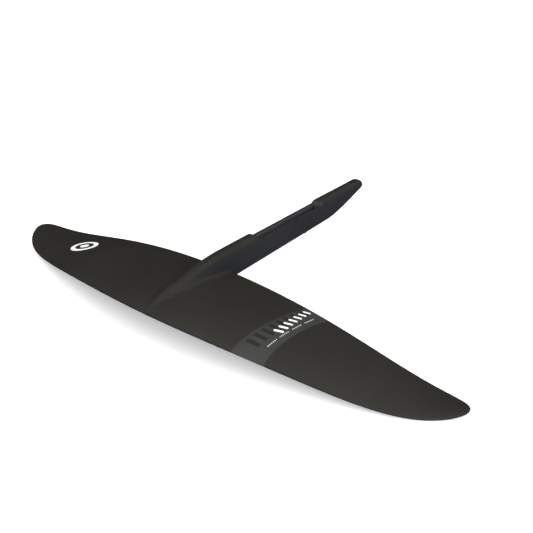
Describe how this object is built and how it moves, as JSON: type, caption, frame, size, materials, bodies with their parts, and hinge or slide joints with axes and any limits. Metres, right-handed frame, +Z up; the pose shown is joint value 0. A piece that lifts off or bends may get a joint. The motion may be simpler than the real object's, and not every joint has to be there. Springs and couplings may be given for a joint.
{
  "type": "hydrofoil front wing",
  "caption": "Drooped high-aspect carbon hydrofoil wing moulded with its fuselage, which has an open mast seat and a ramped tail that takes a stabiliser wing.",
  "frame": {"origin": "centre of the mast channel's floor, midway between its two screw holes", "axes": "+X to the wing's starboard tip, +Y aft along the fuselage to the tail, +Z up out of the mast channel"},
  "size_m": [0.7496, 0.4615, 0.0788],
  "materials": {
    "carbon_wing": "satin clear-coated carbon laminate",
    "carbon_body": "satin clear-coated carbon laminate",
    "carbon_bare": "uncoated carbon laminate inside the moulding",
    "foam": "closed-cell structural foam",
    "dense_block": "dense moulded fibre block",
    "steel_insert": "turned stainless steel"
  },
  "bodies": {
    "root": {"upper_skin": "carbon_wing", "lower_skin": "carbon_wing", "nose_fairing": "carbon_wing", "belly_fairing": "carbon_wing", "spar_cap_upper": "carbon_bare", "spar_cap_lower": "carbon_bare", "shear_web": "carbon_bare", "core_front_right": "foam", "core_rear_right": "foam", "core_front_left": "foam", "core_rear_left": "foam", "core_front_middle": "foam", "core_rear_middle": "foam", "nose_filler": "foam", "belly_filler": "foam", "spigot": "carbon_bare", "spigot_core": "foam", "fuselage_front_left": "carbon_body", "fuselage_front_right": "carbon_body", "fuselage_seat_left": "carbon_body", "fuselage_seat_right": "carbon_body", "fuselage_rear_left": "carbon_body", "fuselage_rear_right": "carbon_body", "tray_floor": "carbon_body", "tray_wall_left": "carbon_body", "tray_wall_right": "carbon_body", "tray_end_front": "carbon_body", "tray_end_rear": "carbon_body", "mast_block": "dense_block", "mast_sleeve_1": "steel_insert", "mast_sleeve_2": "steel_insert", "front_filler": "foam", "rear_filler": "foam", "tail_block": "dense_block", "tail_bush": "steel_insert", "tail_insert": "steel_insert"}
  },
  "joints": []
}
